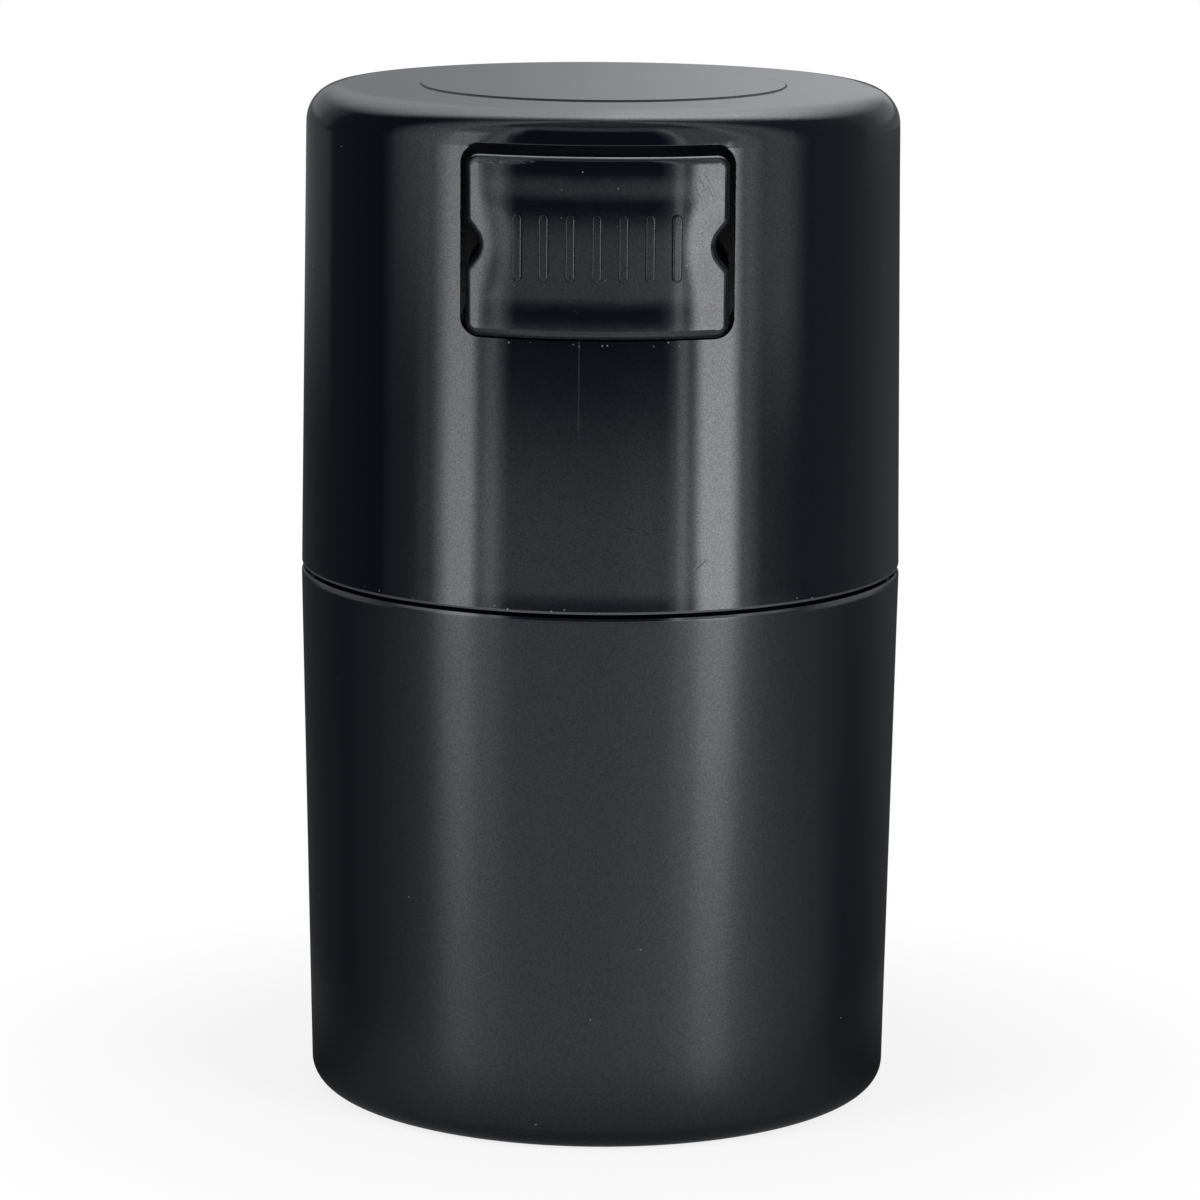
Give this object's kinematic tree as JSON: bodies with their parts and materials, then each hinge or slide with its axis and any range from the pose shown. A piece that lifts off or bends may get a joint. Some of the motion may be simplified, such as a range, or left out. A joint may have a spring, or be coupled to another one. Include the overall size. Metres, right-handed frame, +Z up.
{
  "type": "vacuum seal canister",
  "caption": "Small round food canister with a tall press-on cap; a sprung thumb button in a pocket of the cap opens a vent that lets air in or out.",
  "frame": {"origin": "centre of the foot ring, on the surface that the canister stands on", "axes": "+Z up along the canister's axis, -Y towards the button, +X to the right of someone who faces the button"},
  "size_m": [0.062, 0.0634, 0.1046],
  "materials": {
    "base_black": "satin moulded black",
    "cup_black": "satin moulded black",
    "cap_black": "gloss moulded black",
    "button_black": "polished black with light scratches",
    "seal_silicone": "matte dark silicone",
    "spring_steel": "drawn stainless wire",
    "stem_steel": "stamped stainless"
  },
  "bodies": {
    "container": {"base_shell": "base_black", "inner_cup": "cup_black", "neck_seal": "seal_silicone"},
    "cap": {"cap_shell": "cap_black", "valve_spring": "spring_steel"},
    "button": {"press_button": "button_black", "valve_disc": "seal_silicone", "disc_washer": "stem_steel", "stem_clip": "stem_steel"}
  },
  "joints": [
    {"name": "cap_lift", "type": "slide", "parent": "container", "child": "cap", "axis": [0, 0, 1], "range_m": [0, 0.04]},
    {"name": "button_press", "type": "slide", "parent": "cap", "child": "button", "axis": [0, 1, 0], "range_m": [0, 0.002], "stiffness_N_per_m": 600, "springref_m": -0.002, "deforming": ["valve_spring"]}
  ]
}
